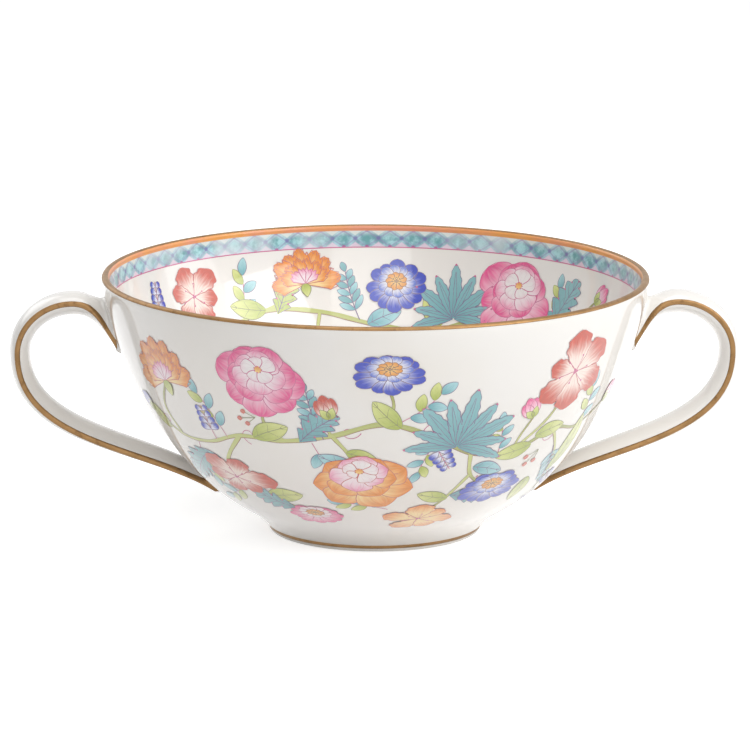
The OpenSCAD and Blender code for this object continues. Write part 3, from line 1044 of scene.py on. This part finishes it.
OUTSIDE_STEMS = [
    ([(-68, 24), (-58, 28), (-47, 28), (-36, 25), (-24, 25), (-12, 23), (0, 20), (11, 23), (22, 28),
      (34, 29), (46, 25), (56, 26), (66, 22)], (0.5, 0.9, 1.3, 1.4, 1.3, 1.0, 0.5)),
    ([(-58, 28), (-60, 22), (-56, 16)], (0.9, 0.8, 0.6)),
    ([(-24, 25), (-28, 21), (-27, 16)], (0.9, 0.8, 0.6)),
    ([(-12, 23), (-13, 21), (-12, 19)], (0.6, 0.5)),
    ([(0, 20), (2, 16), (1, 12)], (0.8, 0.7, 0.5)),
    ([(34, 29), (35, 25), (37, 21)], (0.6, 0.5)),
    ([(34, 29), (42, 22), (45, 16)], (0.9, 0.8, 0.6)),
    ([(-36, 25), (-44, 33), (-42, 38), (-34, 42), (-24, 46)], (1.1, 1.0, 0.9, 0.7, 0.5)),
    ([(-12, 23), (-8, 28), (-6, 33)], (1.0, 0.9, 0.7)),
    ([(22, 28), (24, 34), (30, 38)], (1.0, 0.9, 0.7)),
    ([(24, 34), (19, 41), (14, 46)], (0.9, 0.7, 0.5)),
    ([(46, 25), (54, 34), (60, 44)], (0.8, 0.6, 0.4)),
]

OUTSIDE = [
    (frond, (-14, 24, 20, 0.8), (50, 30, -150, 0.75)),
    (sprig, (-40, 26, 28, 0.95), (-17, 25, -150, 1), (3, 20, -48, 0.95), (30, 30, 12, 0.75),
     (-52, 29, 170, 0.9), (57, 27, 8, 0.9), (13, 24, 165, 0.8), (2, 44, 80, 0.8), (-40, 40, 120, 0.9)),
    (bells, (-44, 27, 8, 1), (12, 25, -150, 1), (57, 38, -130, 0.9)),
    (tendril, (-33, 27, 60, 1.2), (9, 22, -20, 1.2), (27, 33, -120, 1.1), (-64, 27, 20, 1.1),
     (-5, 22, 150, 1.2), (47, 25, 190, 1.2)),
    (leaf, (-62, 27, 60, 1), (-32, 25, -60, 1.15), (-45, 34, 75, 1, AQUA), (-36, 42, -70, 1.1),
     (-9, 27, -110, 0.95), (-7, 31, 75, 1, AQUA), (4, 21, 50, 1.1), (24, 32, -100, 0.95, AQUA),
     (40, 26, -70, 1), (40, 28, 110, 1.1), (20, 41, 80, 0.9),
     (56, 38, -15, 1.9, {"slim": 0.6, "curl": -0.2}), (-62, 36, 150, 1, AQUA), (47, 38, -170, 1)),
    (big_leaf, (-20, 25, -40, 0.8, {"curl": 0.2}), (-50, 31, 125, 1, {"curl": -0.1}),
     (20, 40, -95, 0.7, {"curl": 0.2}), (-28, 45, 70, 0.75, {"curl": 0.2})),
    (palm_leaf, (18, 26, -10, 1)),
    (berries, (-30, 20, 95, 0.9), (44, 30, 150, 1)),
    (bud, (66, 22, -40, 1.1), (-68, 24, 40, 1, COBALT)),
    (daisy, (-22, 47, 0, 0.78, {"squash": 0.62, **ROSE})),
    (lily, (13, 48, 20, 0.85, {"squash": 0.62, "tone": "orange_petal"})),
    (bud, (-12, 19, 14, 1.15, {"tone": "iron_red"}), (37, 21, 30, 1.1)),
    (carnation, (-55, 15, 12, 1.15)),
    (rose, (-27, 12, 12, 1.12)),
    (daisy, (1, 9, 4, 1, {"squash": 0.62})),
    (lily, (46, 12, 12, 1.15), (-44, 37, 40, 0.95, {"squash": 0.7})),
    (rose, (-6, 35, 0, 1.15, DAHLIA)),
    (daisy, (33, 39, 4, 1, {"squash": 0.68})),
    (berries, (61, 44, -160, 1, {"tone": "cobalt_dot"})),
]

INSIDE_STEMS = [
    ([(-66, 12), (-54, 18), (-40, 20), (-26, 17), (-12, 18), (2, 21), (16, 22), (30, 19), (44, 21),
      (56, 17), (64, 11)], (0.5, 1.0, 1.2, 1.1, 0.9, 0.5)),
    ([(-54, 18), (-50, 15), (-47, 13)], (0.8, 0.6)),
    ([(-26, 17), (-20, 15), (-17, 12)], (0.8, 0.6)),
    ([(2, 21), (6, 19), (7, 16)], (0.8, 0.6)),
    ([(-12, 18), (-14, 27), (-10, 35)], (0.8, 0.6)),
    ([(44, 21), (38, 29), (40, 37)], (0.8, 0.6)),
]

INSIDE = [
    (frond, (-2, 20, 22, 0.75)),
    (sprig, (-33, 19, -8, 0.9), (22, 21, 160, 0.9), (52, 19, 12, 0.8)),
    (bells, (-60, 15, -8, 1)),
    (tendril, (14, 22, 10, 1.2), (-44, 20, 150, 1.2)),
    (leaf, (-60, 15, -110, 1), (-26, 17, 85, 1.1), (-13, 24, 75, 1), (19, 21, 40, 1),
     (40, 30, -70, 1), (0, 21, -60, 1, AQUA), (34, 20, 130, 1)),
    (big_leaf, (-36, 19, -155, 0.8), (-23, 18, -30, 0.75, {"tone": "green_big", "curl": -0.1}),
     (50, 19, -20, 0.95)),
    (palm_leaf, (22, 19, 4, 0.85)),
    (bud, (64, 11, -50, 1.1)),
    (berries, (9, 22, 170, 1)),
    (lily, (-46, 12, 20, 0.9)),
    (carnation, (-15, 12, 6, 0.95)),
    (daisy, (7, 13, 0, 0.9, {"squash": 0.85})),
    (rose, (38, 14, 0, 1.15)),
    (daisy, (-9, 37, 0, 0.8, ROSE)),
    (bud, (40, 37, 170, 1, COBALT)),
]


def enamels(colours):
    """Every enamel's material, by the name that the motifs use for it. A wash has its deep and
    its pale colour, and then what wash_finish takes after them."""
    names = {"leaf": "leaf_green", "green_big": "leaf_green_big", "stem": "stem_green"}
    washes = {
        "turquoise": (colours.turquoise, (0.22, 0.47, 0.50), (0.1, 1.2), 7, True),
        "aqua_leaf": ((0.13, 0.41, 0.46), (0.36, 0.63, 0.67), (0.2, 1.0), 5, True),
        "leaf": (colours.green, (0.66, 0.70, 0.24), (0.1, 1.0), 6, True),
        "green_big": (colours.green, (0.62, 0.71, 0.26), (0.1, 1.1), 6, True),
        "stem": ((0.33, 0.36, 0.08), (0.56, 0.60, 0.20), (0.2, 0.9), 3),
        "cobalt": (colours.cobalt, (0.76, 0.77, 0.90), (0.3, 0.8), 8),
        "cobalt_pale": ((0.10, 0.18, 0.68), (0.86, 0.84, 0.88), (0.45, 1.0), 8),
        "rose": (colours.rose, (0.93, 0.62, 0.72), (0.35, 1.0), 8),
        "blush": ((0.90, 0.26, 0.46), (0.92, 0.78, 0.82), (0.45, 1.1), 8),
        "rose_pale": ((0.88, 0.52, 0.64), (0.90, 0.84, 0.84), (0.6, 1.3), 8),
        "iron_red": (colours.iron_red, (0.92, 0.76, 0.68), (0.3, 0.8), 10),
        "orange_petal": ((0.86, 0.27, 0.02), (0.95, 0.70, 0.32), (0.35, 0.95), 9),
        "orange": (colours.orange, (0.93, 0.60, 0.20), (0.2, 0.9), 5),
    }
    lines = {"iron_dot": (0.60, 0.09, 0.04), "cobalt_dot": (0.06, 0.12, 0.55),
             "magenta_line": colours.magenta, "red_line": (0.50, 0.06, 0.05), "plum_line": colours.plum,
             "olive_line": (0.20, 0.21, 0.04), "brown_line": (0.25, 0.09, 0.03)}
    return {**{key: wash_finish(names.get(key, key), *values) for key, values in washes.items()},
            **{key: line_finish(key, tone) for key, tone in lines.items()}}


def lay(painter, stems, motifs):
    """Paints a panel: its stalks first, then each motif over the ones before it."""
    for spots, widths in stems:
        painter.stem(spots, widths)
    for motif, *places in motifs:
        for angle, depth, turn, size, *options in places:
            motif(painter, (angle, depth), size, turn, **(options[0] if options else {}))


# Operators.


class CupOperator(bpy.types.Operator):
    """What the steps share"""
    bl_options = {"REGISTER", "UNDO"}

    def form(self, context):
        return Form(context.scene.cup_sizes)

    def film(self, context):
        return context.scene.cup_sizes.film / MM


class CUP_OT_china(CupOperator):
    """Build the glazed bowl with its foot ring and both handles"""
    bl_idname = "cup.china"
    bl_label = "Bowl and handles"

    def execute(self, context):
        form = self.form(context)
        bowl = turned(form.section_line(), context.scene.cup_sizes.segments)
        right = form.handle()
        points, faces = joined([closed_tube(grid) for grid in (bowl, right, mirrored(right))])
        write_piece("china_cup", points, faces, china_finish(context.scene.cup_colours), replaced="cup")
        return {"FINISHED"}


class CUP_OT_gilding(CupOperator):
    """Gild the lip, the edges of both handles and the foot"""
    bl_idname = "cup.gilding"
    bl_label = "Gilding"

    # Angles round the lip from its outside, and heights on the foot, between which gold lies
    LIP_FROM, LIP_TO, FOOT_FROM, FOOT_TO = 12, 134, 0.5, 1.6
    # How far the films of the handles and the lip, and that of the foot, go under the glaze
    UNDER, FOOT_UNDER = 0.2, 0.15
    # How far outside the wall a strap's gilding starts and ends, and the length of its round end
    START_GAP, END_GAP, ROUND_END = 0.15, -0.4, 0.6

    def execute(self, context):
        form, film = self.form(context), self.film(context)
        gold = gold_finish(context.scene.cup_colours)
        segments = context.scene.cup_sizes.segments
        lip = np.concatenate([form.lip_arc(self.LIP_FROM, self.LIP_TO, 15, film),
                              form.lip_arc(self.LIP_TO, self.LIP_FROM, 15, -self.UNDER)])
        self.ring("rim_gilding", lip, segments, gold)
        edge, side = form.foot_wall()
        line = np.concatenate([edge[:-1], side])
        line = line[(line[:, 1] > self.FOOT_FROM) & (line[:, 1] < self.FOOT_TO)]
        normal = beside_line(line)
        foot = np.concatenate([line + normal * film * swell(len(line), 0.2)[:, None],
                               (line - normal * self.FOOT_UNDER)[::-1]])
        self.ring("foot_gilding", foot, segments, gold)
        front, back = self.strip(form, np.pi, film), self.strip(form, 0.0, film)
        for name, strips in (("right", (front, back)), ("left", (mirrored(front), mirrored(back)))):
            points, faces = joined([closed_tube(strip) for strip in strips])
            write_piece(f"{name}_handle_gilding", points, faces, gold)
        return {"FINISHED"}

    def ring(self, name, loop, segments, gold):
        """A closed loop of (radius, height) carried round the axis."""
        grid = turned(np.concatenate([loop, loop[:1]]), segments)[:-1]
        rows = len(grid)
        quads = grid_quads(1, rows + 1, segments, wrap=True) % (rows * segments)
        points = grid.reshape(-1, 3)
        quads, _ = shell_faces(points, quads, quads[:0, :3])
        write_piece(name, points, [quads], gold)

    def strip(self, form, middle, film, columns=9):
        """The gilding along one edge of the right strap, as a thin tube: a band about the edge
        raised by the film, and the same sunk under the glaze. It is broader on the outer face
        at the upper root and on the inner face towards its round tip on the belly. It starts
        where the edge comes out of the wall and ends where it has gone in again."""
        edge = form.lens(np.array([middle]))
        s = form.share(len(edge))
        width = (np.interp(s, (0.06, 0.2, 0.3, 0.75, 1), (0.85, 0.75, 0.5, 0.5, 0.3)),
                 np.interp(s, (0.05, 0.25, 0.7, 1), (0.3, 0.66, 0.66, 1.15)))
        spread = np.stack([self.turn_to(form, edge, middle, sign, reach)
                           for sign, reach in zip((-1, 1), width)], -1)
        across = np.linspace(-1, 1, columns)
        turns = np.where(across < 0, spread[:, :1] * -across, spread[:, 1:] * across)
        edge = edge[:, 0]
        gap = form.gap(edge)
        first, last = np.flatnonzero(gap > self.START_GAP)[0], np.flatnonzero(gap > self.END_GAP)[-1]
        run = np.cumsum(np.linalg.norm(np.diff(edge, axis=0, prepend=edge[:1]), axis=1))
        left = np.clip(1 - (run[last] - run) / self.ROUND_END, 0, 1)
        share = np.sqrt(np.clip(1 - left ** 2, 0.01, 1))
        patch = form.seated(form.lens(middle + turns * share[:, None]), 0.0, False)
        normal = grid_normals(patch, False)
        top = patch + normal * film * swell(columns, 0.12)[None, :, None]
        under = patch - normal * self.UNDER
        return np.concatenate([top, under[:, ::-1]], 1)[first:last + 1]

    def turn_to(self, form, edge, middle, sign, reach):
        """The turn round each section at which the strap's surface lies reach away from its
        edge, square to it, by halving; sign is -1 towards the outer face and 1 towards the
        inner one."""
        hand = sign * (-1 if middle == 0 else 1)
        along = unit(np.gradient(edge[:, 0], axis=0))
        low, high = np.zeros(len(edge)), np.full(len(edge), 1.3)
        for _ in range(12):
            half = (low + high) / 2
            away = (form.lens(middle + hand * half[:, None]) - edge)[:, 0]
            away = np.linalg.norm(away - along * (away * along).sum(1, keepdims=True), axis=1)
            low, high = np.where(away < reach, half, low), np.where(away < reach, high, half)
        return hand * low


class CUP_OT_border(CupOperator):
    """Paint the lines and the lattice under the lip inside"""
    bl_idname = "cup.border"
    bl_label = "Border"

    # Cells round the lip, and the depths at which the three bands meet
    CELLS, DEPTHS = 68, (0.0, 1.35, 4.65, 4.87)

    def execute(self, context):
        colours = context.scene.cup_colours
        palette = Palette({
            "orange_line": orange_line_finish(colours),
            "lattice": lattice_finish(colours),
            "magenta_edge": line_finish("border_magenta", colours.magenta),
        })
        painter = Painter(Wall(self.form(context), outside=False), self.film(context) * 0.6, palette)
        bands = zip(("orange_line", "lattice", "magenta_edge"), self.DEPTHS, self.DEPTHS[1:], (19, 4, 2))
        for tone, top, bottom, rows in bands:
            self.band(painter, tone, top, bottom, rows)
        palette.write("border")
        return {"FINISHED"}

    def band(self, painter, tone, top, bottom, rows):
        """A band round the inside between two depths, as one patch for each cell, with rows
        enough to follow the round of the lip."""
        u, v = np.linspace(0, 1, 7), np.linspace(0, 1, rows)
        cell = np.arange(self.CELLS)[:, None, None]
        angle = (cell + u[None, None]) * 2 * np.pi / self.CELLS + 0 * v[None, :, None]
        depth = bottom + (top - bottom) * v[None, :, None] + 0 * angle
        points = painter.wall.points(angle, depth, painter.lift(0.5) + 0 * angle)
        painter.palette.keep(tone, points, stroke(u, v))


class CUP_OT_sprays(CupOperator):
    """Paint the flower sprays on the front and the back of the bowl, outside and inside"""
    bl_idname = "cup.sprays"
    bl_label = "Flower sprays"

    def execute(self, context):
        palette = Palette(enamels(context.scene.cup_colours))
        for seed, (outside, panel) in enumerate(((True, 0), (True, 180), (False, 0), (False, 180))):
            wall = Wall(self.form(context), outside, panel)
            painter = Painter(wall, self.film(context), palette, seed + 5)
            lay(painter, *((OUTSIDE_STEMS, OUTSIDE) if outside else (INSIDE_STEMS, INSIDE)))
        palette.write("spray")
        return {"FINISHED"}


class CUP_OT_stage(CupOperator):
    """Set the pale floor, the soft lamps and the camera"""
    bl_idname = "cup.stage"
    bl_label = "Floor, lamps and camera"

    # Each softbox: its place, width and height in metres, and its power in watts
    LAMPS = {
        "key_softbox": ((0.55, -0.35, 0.55), 0.55, 0.55, 3.4),
        "side_softbox": ((0.85, 0.05, 0.35), 0.5, 0.5, 1.1),
        "top_softbox": ((0.0, 0.0, 0.85), 0.6, 0.6, 2.3),
        "back_softbox": ((-0.50, 0.50, 0.50), 0.5, 0.5, 1.2),
        "front_softbox": ((0.0, -0.80, 0.50), 0.6, 0.5, 1.7),
    }
    # The point that the lamps and the camera face
    TARGET = Vector((0, 0, 0.025))
    # The camera's distance in pixels of the photograph, which is 750 pixels wide
    FOCAL, PICTURE = 5044, 750

    def execute(self, context):
        scene = context.scene
        scene.view_settings.view_transform = "Standard"
        self.floor()
        self.world(scene)
        for name, values in self.LAMPS.items():
            self.lamp(name, *values)
        self.camera(scene)
        return {"FINISHED"}

    def floor(self):
        """A wide pale plane on which the cup stands, which takes its shadow and shows white."""
        half = 6.0
        mesh = bpy.data.meshes.new("floor")
        mesh.from_pydata([(-half, -half, 0), (half, -half, 0), (half, half, 0), (-half, half, 0)],
                         [], [(0, 1, 2, 3)])
        finish = Finish("floor", roughness=1.0, specular_ior_level=0.0)
        finish.set("Base Color", (0.9, 0.9, 0.9))
        ray = finish.node("ShaderNodeLightPath")
        seen = ray + ray.beside("Is Glossy Ray") + ray.beside("Is Transmission Ray")
        finish.set("Emission Color", finish.mix(seen.least(1.0), (0, 0, 0), (1, 1, 1)))
        finish.set("Emission Strength", 0.6)
        mesh.materials.append(finish.material)
        floor = linked("floor", mesh)

    def world(self, scene):
        """A plain pale surrounding: white to the eye and in reflections, softer as light."""
        world = bpy.data.worlds.new("studio")
        world.use_nodes = True
        nodes = Nodes(world.node_tree)
        ray = nodes.node("ShaderNodeLightPath")
        seen = ray.most(ray.beside("Is Glossy Ray"))
        background = world.node_tree.nodes["Background"]
        nodes.feed(background.inputs["Color"], nodes.mix(seen, (0.2, 0.2, 0.2), (1, 1, 1)))
        background.inputs["Strength"].default_value = 1.0
        scene.world = world

    def lamp(self, name, place, width, height, power):
        """A rectangular softbox that faces the cup."""
        light = bpy.data.lights.new(name, "AREA")
        light.shape = "RECTANGLE"
        light.size, light.size_y = width, height
        light.energy = power
        lamp = linked(name, light)
        lamp.location = place
        lamp.rotation_euler = (self.TARGET - Vector(place)).to_track_quat("-Z", "Y").to_euler()

    def camera(self, scene):
        """The photograph's view: a metre away, 12.44 degrees up, two degrees round to the left
        of the front, with a long lens."""
        away, up, round_, roll = 1.0, math.radians(12.44), math.radians(2.0), math.radians(0.19)
        back = Vector((-math.cos(up) * math.sin(round_), -math.cos(up) * math.cos(round_), math.sin(up)))
        pixel = away / self.FOCAL
        right = back.cross(Vector((0, 0, 1))).normalized() * -1
        above = back.cross(right).normalized()
        aim = self.TARGET + above * 29.0 * pixel - right * 0.2 * pixel
        data = bpy.data.cameras.new("camera")
        data.sensor_width = 36.0
        data.lens = self.FOCAL / self.PICTURE * data.sensor_width
        data.clip_start, data.clip_end = 0.05, 20.0
        camera = linked("camera", data)
        eye = self.TARGET + back * away
        turn = (aim - eye).to_track_quat("-Z", "Y").to_matrix().to_4x4()
        camera.matrix_world = Matrix.Translation(eye) @ turn @ Matrix.Rotation(roll, 4, "Z")
        scene.camera = camera


class CUP_PT_panel(bpy.types.Panel):
    """Lists the steps, the sizes and the colours"""
    bl_idname = "CUP_PT_panel"
    bl_label = "Bouillon cup"
    bl_space_type = "VIEW_3D"
    bl_region_type = "UI"
    bl_category = "Cup"

    def draw(self, context):
        for step in STEPS:
            self.layout.operator(step.bl_idname)
        for group in (context.scene.cup_sizes, context.scene.cup_colours):
            column = self.layout.column(align=True)
            for key in group.bl_rna.properties.keys():
                if key not in ("rna_type", "name"):
                    column.prop(group, key)


STEPS = (CUP_OT_china, CUP_OT_gilding, CUP_OT_border, CUP_OT_sprays, CUP_OT_stage)
CLASSES = (CupSizes, CupColours, *STEPS, CUP_PT_panel)


def register():
    for cls in CLASSES:
        bpy.utils.register_class(cls)
    bpy.types.Scene.cup_sizes = PointerProperty(type=CupSizes)
    bpy.types.Scene.cup_colours = PointerProperty(type=CupColours)


def unregister():
    del bpy.types.Scene.cup_sizes
    del bpy.types.Scene.cup_colours
    for cls in reversed(CLASSES):
        bpy.utils.unregister_class(cls)


def main():
    """Builds the cup and its stage."""
    register()
    for step in STEPS:
        group, name = step.bl_idname.split(".")
        if getattr(getattr(bpy.ops, group), name)() != {"FINISHED"}:
            raise RuntimeError(f"{step.bl_label} did not finish")


if __name__ == "__main__":
    main()
